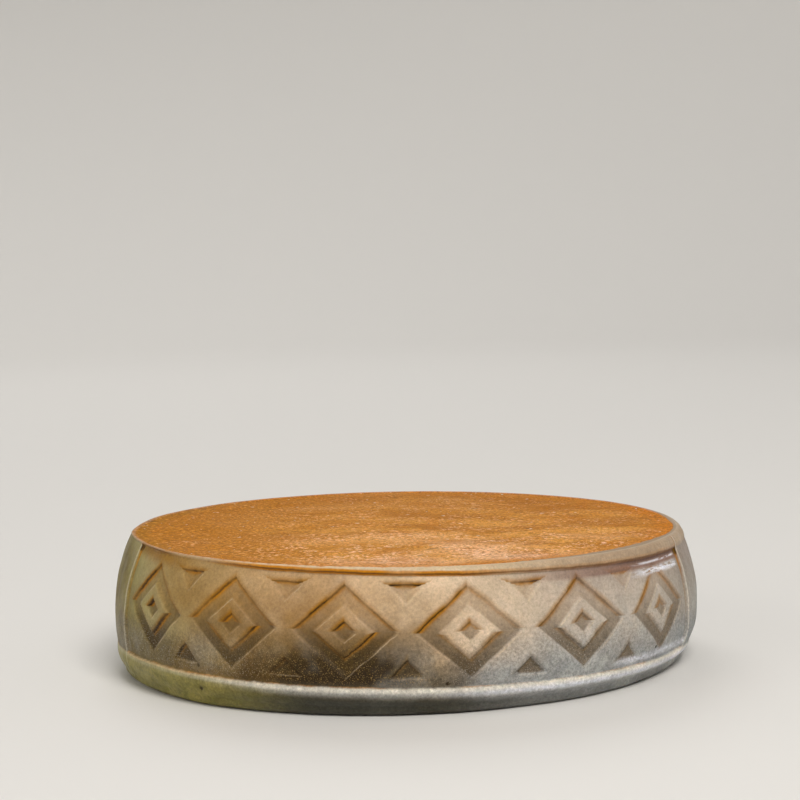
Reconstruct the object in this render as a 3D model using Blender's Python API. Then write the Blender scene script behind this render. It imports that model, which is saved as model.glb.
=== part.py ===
"""A whole wheel of goat cheese with a washed rind, in metres, +Z up.

The wheel lies flat on its base, and the origin is at the middle of that base.
Its side bellies out between a foot and a pale lip. Two long panels are pressed
into the side, one facing -Y and one facing +Y, and each carries a frieze of
sunk lozenges with small triangles between them. The wheel was pressed a little
askew: it is about 4 mm thinner on the +X side than on the -X side, and the
panels lie lower there.
"""
import math

import bpy

# The wheel
WHEEL_HEIGHT = 0.064
TOP_TILT = 0.0022
BELLY_RADIUS = 0.140
BELLY_HEIGHT = 0.027
TOP_DRAW_IN = 0.0088
TOP_CURVE = 2.1
FOOT_DRAW_IN = 0.0085
FOOT_UNEVEN = 0.0030
FOOT_CURVE = 2.5
FOOT_ROUND = 0.0040
EDGE_ROUND = 0.0016
EDGE_SHARE = 0.8
RIM_WIDTH = 0.0045
FACE_SINK = 0.0008

# The pressed panels
PANEL_COUNT = 2
PANEL_HALF_ANGLE = math.radians(69)
PANEL_DEPTH = 0.0013
LOWER_LIP = 0.0125
UPPER_LIP = 0.0033
LOWER_SLIP = 0.0030
UPPER_SLIP = 0.0046
LIP_SWELL = 0.0010
STEP_WIDTH = 0.0008
STEP_ANGLE = math.radians(0.5)

# The frieze in each panel
LOZENGE_COUNT = 6
LOZENGE_PITCH = math.radians(22.6)
LOZENGE_HALF_WIDTH = 0.0240
LOZENGE_HALF_HEIGHT = 0.0200
STROKE_WIDTH = 0.0070
HEART_HALF_WIDTH = 0.0054
TRIANGLE_HALF_WIDTH = 0.0085
TRIANGLE_HEIGHT = 0.0085
FRIEZE_DEPTH = 0.0017
WALL_SLOPE = 0.0004
CUTTER_REACH = 0.0060

# How finely the curves are divided
COLUMN_ANGLE = math.radians(3)
PANEL_ROWS = 7
LIP_ROWS = 3
ROUND_STEPS = 3
SIDE_STEPS = 6
TRIANGLE_STEPS = 3

# The finish
RIND_COLOUR = (0.50, 0.38, 0.24, 1.0)
RIND_ROUGHNESS = 0.6


def clear_scene():
    for old in list(bpy.data.objects):
        bpy.data.objects.remove(old, do_unlink=True)


def top_level(radius, azimuth):
    """Height of the top's plane, which falls towards +X. The azimuth is counted from -Y towards +X."""
    return WHEEL_HEIGHT - TOP_TILT * math.sin(azimuth) * radius / BELLY_RADIUS


def panel_low(azimuth):
    """Height of a panel's lower edge, which also falls towards +X."""
    return LOWER_LIP - LOWER_SLIP * math.sin(azimuth)


def panel_high(azimuth):
    """Height of a panel's upper edge, which falls a little faster."""
    return WHEEL_HEIGHT - UPPER_LIP - UPPER_SLIP * math.sin(azimuth)


def belly_radius(height, azimuth):
    """Radius of the plain side: widest at the belly, drawn in by a power curve above and below it."""
    if height >= BELLY_HEIGHT:
        share = (height - BELLY_HEIGHT) / (WHEEL_HEIGHT - BELLY_HEIGHT)
        return BELLY_RADIUS - TOP_DRAW_IN * share**TOP_CURVE
    share = (BELLY_HEIGHT - height) / BELLY_HEIGHT
    draw_in = FOOT_DRAW_IN + FOOT_UNEVEN * math.sin(azimuth)
    return BELLY_RADIUS - draw_in * share**FOOT_CURVE


def panel_share(azimuth):
    """1 inside a pressed panel, 0 on the plain side between two panels."""
    spacing = 2 * math.pi / PANEL_COUNT
    from_middle = abs((azimuth + spacing / 2) % spacing - spacing / 2)
    return min(1.0, max(0.0, (PANEL_HALF_ANGLE + STEP_ANGLE - from_middle) / STEP_ANGLE))


def at(radius, azimuth, height):
    return (radius * math.sin(azimuth), -radius * math.cos(azimuth), height)


def column_azimuths():
    """Even columns round the wheel, with one more at the foot of each panel's end wall."""
    even = [COLUMN_ANGLE * k for k in range(round(2 * math.pi / COLUMN_ANGLE))]
    ends = []
    for panel in range(PANEL_COUNT):
        middle = 2 * math.pi * panel / PANEL_COUNT
        for side in (-1, 1):
            ends.append((middle + side * (PANEL_HALF_ANGLE + STEP_ANGLE)) % (2 * math.pi))
    return sorted(even + ends)


def round_corner(size):
    """Points of a quarter circle as (distance along, distance in), from its start to its end."""
    angles = [math.pi / 2 * k / ROUND_STEPS for k in range(ROUND_STEPS + 1)]
    return [(size * (1 - math.cos(a)), size * (1 - math.sin(a))) for a in angles]


def profile(azimuth):
    """The outline at one azimuth, as (radius, height) from the edge of the base to the edge of the top face."""
    low = panel_low(azimuth)
    high = panel_high(azimuth)
    depth = PANEL_DEPTH * panel_share(azimuth)
    points = []

    for rise, inset in round_corner(FOOT_ROUND):
        points.append((belly_radius(FOOT_ROUND, azimuth) - inset, rise))

    for k in range(1, LIP_ROWS + 1):
        share = k / (LIP_ROWS + 1)
        height = FOOT_ROUND + (low - FOOT_ROUND) * share
        swell = LIP_SWELL * math.sin(math.pi * share)
        points.append((belly_radius(height, azimuth) + swell, height))
    points.append((belly_radius(low, azimuth), low))

    foot, head = low + STEP_WIDTH, high - STEP_WIDTH
    for k in range(PANEL_ROWS + 1):
        height = foot + (head - foot) * k / PANEL_ROWS
        points.append((belly_radius(height, azimuth) - depth, height))
    points.append((belly_radius(high, azimuth), high))

    crest = top_level(belly_radius(high, azimuth), azimuth)
    rounding = min(EDGE_ROUND, EDGE_SHARE * (crest - high))
    edge_radius = belly_radius(crest - rounding, azimuth)
    for along, inset in reversed(round_corner(rounding)):
        points.append((edge_radius - inset, crest - along))
    face_radius = edge_radius - RIM_WIDTH
    points.append((face_radius, top_level(face_radius, azimuth) - FACE_SINK))
    return points


def material(name, colour, roughness):
    made = bpy.data.materials.new(name)
    made.use_nodes = True
    shader = made.node_tree.nodes["Principled BSDF"]
    shader.inputs["Base Color"].default_value = colour
    shader.inputs["Roughness"].default_value = roughness
    shader.inputs["Metallic"].default_value = 0.0
    return made


def add_object(name, points, faces):
    mesh = bpy.data.meshes.new(name)
    mesh.from_pydata(points, [], faces)
    mesh.validate()
    made = bpy.data.objects.new(name, mesh)
    bpy.context.scene.collection.objects.link(made)
    return made


def wheel_body():
    """The wheel with its panels: one outline for each column, joined by quads, with a flat base and top face."""
    azimuths = column_azimuths()
    outlines = [[at(r, a, z) for r, z in profile(a)] for a in azimuths]
    rows = len(outlines[0])
    columns = len(outlines)
    points = [point for outline in outlines for point in outline]
    faces = []
    for i in range(columns):
        here, there = i * rows, (i + 1) % columns * rows
        for j in range(rows - 1):
            faces.append((here + j, there + j, there + j + 1, here + j + 1))
    faces.append([i * rows for i in reversed(range(columns))])
    faces.append([i * rows + rows - 1 for i in range(columns)])
    return add_object("cheese_wheel", points, faces)


def on_panel(azimuth, across, up, out):
    """A point beside the panel's floor: across and up in metres from the frieze's line, out from the floor."""
    turned = azimuth + across / BELLY_RADIUS
    height = (panel_low(turned) + panel_high(turned)) / 2 + up
    return at(belly_radius(height, turned) - PANEL_DEPTH + out, turned, height)


def divided(corners, steps):
    """The corners' closed outline, with each side cut into equal steps."""
    points = []
    for (x0, y0), (x1, y1) in zip(corners, corners[1:] + corners[:1]):
        for k in range(steps):
            points.append((x0 + (x1 - x0) * k / steps, y0 + (y1 - y0) * k / steps))
    return points


def lozenge(half_width, half_height):
    return [(half_width, 0), (0, half_height), (-half_width, 0), (0, -half_height)]


def shrunk_lozenge(half_width, half_height, by):
    """The lozenge whose sides lie this far inside the given one's."""
    apothem = half_width * half_height / math.hypot(half_width, half_height)
    scale = (apothem - by) / apothem
    return lozenge(half_width * scale, half_height * scale)


def ring_cutter(azimuth):
    """Cuts the sunk outline of one lozenge: a closed ring with sloping walls."""
    size = (LOZENGE_HALF_WIDTH, LOZENGE_HALF_HEIGHT)
    loops = [
        (shrunk_lozenge(*size, 0), CUTTER_REACH),
        (shrunk_lozenge(*size, WALL_SLOPE), -FRIEZE_DEPTH),
        (shrunk_lozenge(*size, STROKE_WIDTH - WALL_SLOPE), -FRIEZE_DEPTH),
        (shrunk_lozenge(*size, STROKE_WIDTH), CUTTER_REACH),
    ]
    points = []
    for corners, out in loops:
        points += [on_panel(azimuth, x, y, out) for x, y in divided(corners, SIDE_STEPS)]
    count = len(points) // len(loops)
    faces = []
    for loop in range(len(loops)):
        here, there = loop * count, (loop + 1) % len(loops) * count
        for k in range(count):
            following = (k + 1) % count
            faces.append((here + following, here + k, there + k, there + following))
    return points, faces


def plug_cutter(azimuth, corners, centre, steps):
    """Cuts a sunk shape without a hole, as two fans and the wall between them. The floor is a little smaller."""
    outline = divided(corners, steps)
    count = len(outline)
    reach = max(math.dist(point, centre) for point in outline)
    scale = 1 - WALL_SLOPE / reach
    points = []
    for share, out in ((1.0, CUTTER_REACH), (scale, -FRIEZE_DEPTH)):
        for x, y in outline:
            inner = (centre[0] + (x - centre[0]) * share, centre[1] + (y - centre[1]) * share)
            points.append(on_panel(azimuth, *inner, out))
        points.append(on_panel(azimuth, *centre, out))
    faces = []
    for k in range(count):
        following = (k + 1) % count
        faces.append((k, following, count))
        faces.append((count + 1 + following, count + 1 + k, 2 * count + 1))
        faces.append((following, k, count + 1 + k, count + 1 + following))
    return points, faces


def triangle(side):
    """A small triangle on its side's edge of the frieze, pointing at the frieze's middle line."""
    far = LOZENGE_HALF_HEIGHT * side
    near = far - TRIANGLE_HEIGHT * side
    corners = [(TRIANGLE_HALF_WIDTH, far), (-TRIANGLE_HALF_WIDTH, far), (0, near)]
    return (corners if side > 0 else corners[::-1]), (0, far - TRIANGLE_HEIGHT * side / 3)


def frieze_cutter():
    """All the cutters of both panels in one mesh. None of them touches another."""
    pieces = []
    heart_height = HEART_HALF_WIDTH * LOZENGE_HALF_HEIGHT / LOZENGE_HALF_WIDTH
    heart = lozenge(HEART_HALF_WIDTH, heart_height)
    for panel in range(PANEL_COUNT):
        middle = 2 * math.pi * panel / PANEL_COUNT
        for k in range(LOZENGE_COUNT):
            azimuth = middle + (k - (LOZENGE_COUNT - 1) / 2) * LOZENGE_PITCH
            pieces.append(ring_cutter(azimuth))
            pieces.append(plug_cutter(azimuth, heart, (0, 0), 1))
        for k in range(LOZENGE_COUNT - 1):
            azimuth = middle + (k - (LOZENGE_COUNT - 2) / 2) * LOZENGE_PITCH
            for side in (-1, 1):
                corners, centre = triangle(side)
                pieces.append(plug_cutter(azimuth, corners, centre, TRIANGLE_STEPS))
    points, faces = [], []
    for more_points, more_faces in pieces:
        start = len(points)
        points += more_points
        faces += [[start + k for k in face] for face in more_faces]
    cutter = add_object("frieze_cutter", points, faces)
    cutter.hide_render = True
    cutter.display_type = "WIRE"
    return cutter


def build():
    clear_scene()
    wheel = wheel_body()
    wheel.data.materials.append(material("washed_rind", RIND_COLOUR, RIND_ROUGHNESS))
    cut = wheel.modifiers.new("frieze", "BOOLEAN")
    cut.operation = "DIFFERENCE"
    cut.solver = "EXACT"
    cut.object = frieze_cutter()
    wheel.data.shade_smooth()
    wheel.data.set_sharp_from_angle(angle=math.radians(35))


build()
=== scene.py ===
# %% [markdown]
# # A pressed wheel of goat cheese
#
# The object is one whole wheel of semi-hard goat cheese, 28 cm across, with a washed rind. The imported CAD
# model already has its true shape: a side that bellies out, two long pressed panels, and a frieze of sunk
# lozenges. This script gives it a finely divided skin with the small unevenness of real rind, and a
# procedural finish. A wheel has no separate parts, so one closed skin stands for the whole solid.

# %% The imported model
import math

import bpy
import numpy as np
from mathutils import Matrix, Vector


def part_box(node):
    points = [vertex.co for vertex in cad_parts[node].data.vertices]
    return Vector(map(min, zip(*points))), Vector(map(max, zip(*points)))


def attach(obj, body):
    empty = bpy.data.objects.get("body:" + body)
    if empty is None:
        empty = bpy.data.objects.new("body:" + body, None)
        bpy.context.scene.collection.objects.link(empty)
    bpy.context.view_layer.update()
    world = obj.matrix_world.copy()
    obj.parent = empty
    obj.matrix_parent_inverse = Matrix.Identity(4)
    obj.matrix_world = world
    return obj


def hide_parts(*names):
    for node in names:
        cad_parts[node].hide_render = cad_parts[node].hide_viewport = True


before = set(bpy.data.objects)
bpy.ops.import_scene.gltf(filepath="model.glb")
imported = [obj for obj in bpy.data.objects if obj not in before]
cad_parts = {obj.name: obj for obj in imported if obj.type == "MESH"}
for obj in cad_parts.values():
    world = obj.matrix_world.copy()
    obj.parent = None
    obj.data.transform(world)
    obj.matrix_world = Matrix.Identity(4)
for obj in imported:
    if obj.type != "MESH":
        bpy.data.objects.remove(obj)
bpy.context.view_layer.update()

low_corner, high_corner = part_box("cheese_wheel")
print("nodes in the frame:", sorted(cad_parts))
print("wheel's box in mm:", [round(1000 * s, 1) for s in high_corner - low_corner])

# %% [markdown]
# ## The camera
#
# The photograph looks at the wheel from a little above the table, through a long lens, and the wheel lies
# low in a square frame. The camera is placed on a line from the wheel's middle, then tilted and panned
# until that middle falls on its own pixel, and last rolled by the photograph's small lean. Turning the
# camera this way needs no lens shift, so the other views stay true.

# %% The camera
FRAME_PIXELS = 800
FOCAL_PIXELS = 2300
MIDDLE_PIXEL = (405.8, 590.1)
MIDDLE_HEIGHT = 0.032
CAMERA_DISTANCE = 1.12
CAMERA_ELEVATION = math.radians(9.55)
CAMERA_ROLL = math.radians(1.67)
SENSOR_WIDTH = 36.0


def place_camera(target):
    """Stands back from the target along its line of sight, then turns to put the target on its pixel: each
    turn is the arc tangent of the pixels from the middle over the focal length."""
    back = Vector((0, -math.cos(CAMERA_ELEVATION), math.sin(CAMERA_ELEVATION)))
    right = Vector((1, 0, 0))
    level = Matrix((right, back.cross(right), back)).transposed()
    half = FRAME_PIXELS / 2
    rise = MIDDLE_PIXEL[1] - half
    tilt = math.atan2(rise, FOCAL_PIXELS)
    pan = math.atan2(MIDDLE_PIXEL[0] - half, math.hypot(FOCAL_PIXELS, rise))
    turned = Matrix.Rotation(-CAMERA_ROLL, 3, back) @ level
    turned = turned @ Matrix.Rotation(tilt, 3, "X") @ Matrix.Rotation(pan, 3, "Y")
    lens = bpy.data.cameras.new("camera")
    lens.sensor_width = SENSOR_WIDTH
    lens.lens = SENSOR_WIDTH * FOCAL_PIXELS / FRAME_PIXELS
    lens.clip_start = 0.01
    lens.clip_end = 50
    camera = bpy.data.objects.new("camera", lens)
    camera.matrix_world = Matrix.Translation(target + CAMERA_DISTANCE * back) @ turned.to_4x4()
    bpy.context.scene.collection.objects.link(camera)
    bpy.context.scene.camera = camera
    return camera


camera = place_camera(Vector((0, 0, MIDDLE_HEIGHT)))
print("lens in mm:", round(camera.data.lens, 1))

# %% [markdown]
# ## The outline of the side
#
# In the dairy the fresh curd is pressed in a round mould, so the side is a turned shape: it bellies out
# just under half its height and draws in to a foot and to the rim. A lathe of Blender's own, the Screw
# modifier, turns one fixed outline, but here the outline changes a little on its way round, because the
# wheel was pressed askew and is thinner on one side. So the radius is a function of height and azimuth,
# with the azimuth counted from -Y towards +X, and the sizes are the CAD's own.

# %% Sizes of the wheel
WHEEL_HEIGHT = 0.064
TOP_TILT = 0.0022
BELLY_RADIUS = -low_corner.x
BELLY_HEIGHT = 0.027
TOP_DRAW_IN = 0.0088
TOP_CURVE = 2.1
FOOT_DRAW_IN = 0.0085
FOOT_UNEVEN = 0.0030
FOOT_CURVE = 2.5
FOOT_ROUND = 0.0040
EDGE_ROUND = 0.0016
EDGE_SHARE = 0.8
RIM_WIDTH = 0.0045
FACE_SINK = 0.0008


# %% The plain side
def belly_radius(height, azimuth):
    """The belly's radius less a draw-in, which grows as a power of the distance above or below the belly."""
    above = np.maximum((height - BELLY_HEIGHT) / (WHEEL_HEIGHT - BELLY_HEIGHT), 0)
    below = np.clip((BELLY_HEIGHT - height) / BELLY_HEIGHT, 0, 1)
    foot = FOOT_DRAW_IN + FOOT_UNEVEN * np.sin(azimuth)
    return BELLY_RADIUS - TOP_DRAW_IN * above**TOP_CURVE - foot * below**FOOT_CURVE


def top_level(radius, azimuth):
    """The top is a tilted plane: H - T sin(a) r / R."""
    return WHEEL_HEIGHT - TOP_TILT * np.sin(azimuth) * radius / BELLY_RADIUS


def quarter_inset(distance, size):
    """How far a rounded edge draws in at this distance from its end: s - sqrt(s^2 - (s - d)^2)."""
    left = np.clip(size - distance, 0, size)
    return size - np.sqrt(size**2 - left**2)


sample_radii = belly_radius(np.array([FOOT_ROUND, BELLY_HEIGHT, WHEEL_HEIGHT]), 0.0)
print("radius at foot, belly and rim in mm:", np.round(1000 * sample_radii, 1))

# %% [markdown]
# ## The pressed panels
#
# A band with two raised plates lay round the cheese in the press. Each plate left a shallow panel with
# crisp ends, a rounded roll of rind below it and a pale bead above it. A Boolean would give knife edges.
# Rind is soft when it is pressed, so each edge here is a smooth step: a share that runs from 0 to 1 by
# the curve 3t^2 - 2t^3.

# %% Sizes of the panels
PANEL_COUNT = 2
PANEL_HALF_ANGLE = math.radians(69)
PANEL_DEPTH = 0.0013
LOWER_LIP = 0.0125
UPPER_LIP = 0.0033
LOWER_SLIP = 0.0030
UPPER_SLIP = 0.0046
LIP_SWELL = 0.0010
BEAD_SHARE = 0.13
STEP_WIDTH = 0.0008
STEP_ANGLE = math.radians(0.5)
SHOULDER = 0.0004
STEP_FADE = 0.8
FADE_FROM = math.radians(-60)
FADE_TO = math.radians(-30)
FADE_EDGE = math.radians(10)


# %% The panels
def smooth(value, start, end):
    """0 up to start, 1 from end on, and 3t^2 - 2t^3 between them."""
    share = np.clip((value - start) / (end - start), 0, 1)
    return share * share * (3 - 2 * share)


def panel_low(azimuth):
    """Height of the lower lip's edge, which falls with the sine of the azimuth."""
    return LOWER_LIP - LOWER_SLIP * np.sin(azimuth)


def panel_high(azimuth):
    """Height of the upper lip's edge, which falls with the sine of the azimuth too."""
    return WHEEL_HEIGHT - UPPER_LIP - UPPER_SLIP * np.sin(azimuth)


def crest_level(azimuth):
    """Height of the rim's crest."""
    return top_level(belly_radius(panel_high(azimuth), azimuth), azimuth)


def from_panel_middle(azimuth):
    """Angle from the middle of the nearest panel: (a + s / 2) modulo s, less s / 2, for a spacing of s."""
    spacing = 2 * math.pi / PANEL_COUNT
    return (azimuth + spacing / 2) % spacing - spacing / 2


def inside_ends(azimuth):
    """Distance inside the nearest end of a panel, along the side: an angle times the radius."""
    return (PANEL_HALF_ANGLE + STEP_ANGLE / 2 - np.abs(from_panel_middle(azimuth))) * BELLY_RADIUS


def panel_share(height, azimuth):
    """1 on a panel's floor and 0 on the lips and plain strips: the product of three smooth steps."""
    half_step = STEP_ANGLE * BELLY_RADIUS / 2
    low = panel_low(azimuth)
    high = panel_high(azimuth)
    return (
        smooth(inside_ends(azimuth), -half_step, half_step)
        * smooth(height, low - SHOULDER, low + STEP_WIDTH)
        * smooth(height, high + SHOULDER, high - STEP_WIDTH)
    )


def step_fade(height, azimuth):
    """How much of the panel's depth is left: less towards the upper edge on the left, where the press was
    slack. One less the fade, times a smooth rise and fall in azimuth and a smooth rise in height."""
    turned = from_panel_middle(azimuth)
    slack = smooth(turned, FADE_FROM, FADE_FROM + FADE_EDGE) * smooth(turned, FADE_TO, FADE_TO - FADE_EDGE)
    return 1 - STEP_FADE * slack * smooth(height, BELLY_HEIGHT, panel_high(azimuth))


def lip_swell(height, azimuth):
    """Half a sine wave over each lip's height: a full roll below the panel, and above it a bead that grows
    with the lip's own height."""
    lower = np.clip((height - FOOT_ROUND) / (panel_low(azimuth) - FOOT_ROUND), 0, 1)
    high = panel_high(azimuth)
    lip = crest_level(azimuth) - high
    upper = np.clip((height - high) / lip, 0, 1)
    bead = BEAD_SHARE * lip
    return LIP_SWELL * np.sin(math.pi * lower) + bead * np.sin(math.pi * upper)


print("panels:", PANEL_COUNT, "of", round(2 * math.degrees(PANEL_HALF_ANGLE)), "degrees each")

# %% [markdown]
# ## The frieze
#
# Six lozenge outlines stand in a row in each panel, each with a small lozenge at its heart, and small
# triangles fill the gaps. Raised strips on the press plate sank them into the rind. Cutting them with
# Booleans into a fine mesh is slow and leaves long thin faces. A signed distance is simpler: a function
# that says how far a point lies inside the nearest stroke, and below 0 how far outside. The relief, the
# brown lines along the strokes and their darker floors all follow from that one number.

# %% Sizes of the frieze
LOZENGE_COUNT = 6
LOZENGE_PITCH = math.radians(22.6)
LOZENGE_HALF_WIDTH = 0.0240
LOZENGE_HALF_HEIGHT = 0.0200
STROKE_WIDTH = 0.0070
HEART_HALF_WIDTH = 0.0054
TRIANGLE_HALF_WIDTH = 0.0085
TRIANGLE_HEIGHT = 0.0085
FRIEZE_DEPTH = 0.0017
WALL_START = -0.0003
CRISP_WALL_END = 0.0007
SOFT_WALL_END = 0.0024
PROBE = 0.0004
HAND_WOBBLE = 0.00018
WOBBLE_LENGTH = 0.016


# %% Distances to the strokes
def lozenge_distance(across, up, half_width, half_height):
    """Distance outside a lozenge's sides: |x| h + |y| w - w h, over the length of one side."""
    reach = np.abs(across) * half_height + np.abs(up) * half_width - half_width * half_height
    return reach / math.hypot(half_width, half_height)


def nearest_motif(turned, count):
    """Distance along the side from the nearest of a row of motifs, a pitch apart, with its middle at 0."""
    middle = (count - 1) / 2
    index = np.clip(np.round(turned / LOZENGE_PITCH + middle), 0, count - 1)
    return (turned - (index - middle) * LOZENGE_PITCH) * BELLY_RADIUS


def frieze_distance(azimuth, up):
    """Distance inside the nearest stroke: the greatest for the rings, the hearts and the triangles."""
    turned = from_panel_middle(azimuth)
    across = nearest_motif(turned, LOZENGE_COUNT)
    outside = lozenge_distance(across, up, LOZENGE_HALF_WIDTH, LOZENGE_HALF_HEIGHT)
    ring = np.minimum(-outside, outside + STROKE_WIDTH)
    heart_height = HEART_HALF_WIDTH * LOZENGE_HALF_HEIGHT / LOZENGE_HALF_WIDTH
    heart = -lozenge_distance(across, up, HEART_HALF_WIDTH, heart_height)
    across = np.abs(nearest_motif(turned, LOZENGE_COUNT - 1))
    below_edge = LOZENGE_HALF_HEIGHT - np.abs(up)
    slant = TRIANGLE_HEIGHT * (TRIANGLE_HALF_WIDTH - across) - TRIANGLE_HALF_WIDTH * below_edge
    triangle = np.minimum(below_edge, slant / math.hypot(TRIANGLE_HALF_WIDTH, TRIANGLE_HEIGHT))
    return np.maximum(np.maximum(ring, heart), triangle)


def frieze_facing(azimuth, up):
    """Which way the nearest wall looks: how the distance falls from below to above, and rises rightwards."""
    turn = PROBE / BELLY_RADIUS
    down = frieze_distance(azimuth, up - PROBE) - frieze_distance(azimuth, up + PROBE)
    right = frieze_distance(azimuth + turn, up) - frieze_distance(azimuth - turn, up)
    return down / (2 * PROBE), right / (2 * PROBE)


def above_frieze_middle(height, azimuth):
    """Height above the frieze's own middle line, which runs midway between the lips."""
    return height - (panel_low(azimuth) + panel_high(azimuth)) / 2


# %% [markdown]
# ## Natural unevenness
#
# No two places of a real rind are the same height, depth or shade. Blender's noise textures can do this
# inside a material, but the mesh needs it too. Adding up a few dozen plane waves of random directions
# gives a smooth random value at any point in space, for whole arrays at once, and a fixed seed keeps it
# the same on each run.

# %% Waves
WAVE_COUNT = 28


def waves(points, wavelength, seed):
    """The sum of plane waves of random direction and phase, with most values from -1 to 1."""
    draw = np.random.default_rng(seed)
    directions = draw.normal(size=(WAVE_COUNT, 3))
    directions /= np.linalg.norm(directions, axis=1)[:, None]
    lengths = wavelength * draw.uniform(0.7, 1.5, WAVE_COUNT)
    phases = draw.uniform(0, 2 * math.pi, WAVE_COUNT)
    turns = points @ (directions / lengths[:, None]).T * 2 * math.pi + phases
    return np.sin(turns).sum(axis=-1) / math.sqrt(WAVE_COUNT)


# %% [markdown]
# ## The grid of the side
#
# The side is a grid: columns by azimuth, rows by height. The relief is all in the panels, so the columns
# stand close together there and further apart on the plain strips. The rows crowd at the lips, at the
# steps and at the rounded edges. Their number is the same in each column, so the rows follow the tilted
# lips and the steps stay crisp.

# %% Columns and rows
FINE_HALF_ANGLE = math.radians(71)
FINE_COLUMNS = 486
PLAIN_COLUMNS = 26
FOOT_ROWS = 4
LOWER_LIP_ROWS = 7
STEP_ROWS = 4
PANEL_ROWS = 50
UPPER_LIP_ROWS = 3
EDGE_ROWS = 4
CREST_WIDTH = 0.0009


def column_azimuths():
    """Azimuths round the wheel: close over each panel, wider over each plain strip."""
    spacing = 2 * math.pi / PANEL_COUNT
    fine = np.linspace(-FINE_HALF_ANGLE, FINE_HALF_ANGLE, FINE_COLUMNS, endpoint=False)
    plain = np.linspace(FINE_HALF_ANGLE, spacing - FINE_HALF_ANGLE, PLAIN_COLUMNS, endpoint=False)
    one_turn = np.concatenate([fine, plain])
    return np.concatenate([one_turn + panel * spacing for panel in range(PANEL_COUNT)])


def even_rows(start, end, steps):
    """Heights from start to end at equal steps, without the first."""
    return start + (end - start) * (np.arange(1, steps + 1) / steps)[:, None]


def round_rows(start, end, steps, ends_flat):
    """Heights of a quarter circle at equal angles: 1 - cos from the floor up, or sin up to the crest."""
    angle = math.pi / 2 * (np.arange(1, steps + 1) / steps)[:, None]
    share = np.sin(angle) if ends_flat else 1 - np.cos(angle)
    return start + (end - start) * share


def edge_rounding(azimuth):
    """The rim's rounding: the full size, or a share of the upper lip's height where the lip is thin."""
    return np.minimum(EDGE_ROUND, EDGE_SHARE * (crest_level(azimuth) - panel_high(azimuth)))


def side_heights(azimuth):
    """The heights of all rows in each column, from the edge of the base to the crest of the rim."""
    low = panel_low(azimuth)
    high = panel_high(azimuth)
    crest = crest_level(azimuth)
    edge = crest - edge_rounding(azimuth)
    base = np.zeros_like(azimuth)
    foot = np.full_like(azimuth, FOOT_ROUND)
    return np.concatenate([
        base[None],
        round_rows(base, foot, FOOT_ROWS, ends_flat=False),
        even_rows(foot, low - SHOULDER, LOWER_LIP_ROWS),
        even_rows(low - SHOULDER, low + STEP_WIDTH, STEP_ROWS),
        even_rows(low + STEP_WIDTH, high - STEP_WIDTH, PANEL_ROWS),
        even_rows(high - STEP_WIDTH, high, STEP_ROWS),
        even_rows(high, edge, UPPER_LIP_ROWS),
        round_rows(edge, crest, EDGE_ROWS, ends_flat=True),
    ])


azimuths = column_azimuths()
heights = side_heights(azimuths)
around = np.broadcast_to(azimuths, heights.shape)
print("side grid:", heights.shape[1], "columns of", heights.shape[0], "points")

# %% [markdown]
# ## The relief of the side
#
# Now the radius of every grid point is put together: the belly, the two lips, the sunk panel, the sunk
# strokes, two sizes of slow swelling and a few pits where the curd had not quite closed. The strokes are
# deeper in some places than in others, as the cheese did not fill the plate evenly.

# %% The radius at every point
STROKE_LEAST = 0.45
FILL_LENGTH = 0.060
WALL_FACING = (-0.6, 0.4)
SLOW_SWELL = 0.00032
SLOW_LENGTH = 0.055
QUICK_SWELL = 0.00009
QUICK_LENGTH = 0.013
PIT_COUNT = 16
PIT_DEPTH = 0.0009
PIT_SIZE = 0.0011
PIT_FLATTEN = 1.4
PIT_HEIGHTS = (0.004, 0.058)
KNOWN_PITS = ((-0.723, 0.0083), (0.122, 0.0140))


def turned_points(radius, azimuth, height):
    """Points in space from radius, azimuth and height."""
    return np.stack([radius * np.sin(azimuth), -radius * np.cos(azimuth), height], axis=-1)


def pits(azimuth, height):
    """Depth in the pits, as a share: the greatest of some bells exp(-(distance / size)^2)."""
    draw = np.random.default_rng(5)
    drawn = zip(draw.uniform(-math.pi, math.pi, PIT_COUNT), draw.uniform(*PIT_HEIGHTS, PIT_COUNT))
    share = np.zeros_like(height)
    for pit_azimuth, pit_height in list(KNOWN_PITS) + list(drawn):
        apart = (azimuth - pit_azimuth + math.pi) % (2 * math.pi) - math.pi
        distance = np.hypot(apart * BELLY_RADIUS, (height - pit_height) * PIT_FLATTEN)
        share = np.maximum(share, np.exp(-((distance / PIT_SIZE) ** 2)))
    return share


smooth_side = turned_points(np.full_like(heights, BELLY_RADIUS), around, heights)
motif_azimuth = around + HAND_WOBBLE * waves(smooth_side, WOBBLE_LENGTH, seed=11) / BELLY_RADIUS
motif_up = above_frieze_middle(heights, around) + HAND_WOBBLE * waves(smooth_side, WOBBLE_LENGTH, seed=12)
sunk = frieze_distance(motif_azimuth, motif_up)
facing_down, facing_right = frieze_facing(motif_azimuth, motif_up)
wall_end = SOFT_WALL_END + (CRISP_WALL_END - SOFT_WALL_END) * smooth(facing_down, *WALL_FACING)
filled = 0.5 + 0.5 * waves(smooth_side, FILL_LENGTH, seed=13)
stroke_depth = FRIEZE_DEPTH * (STROKE_LEAST + (1 - STROKE_LEAST) * np.clip(filled, 0, 1))
floor = panel_share(heights, around)
pit_share = pits(around, heights)

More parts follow.
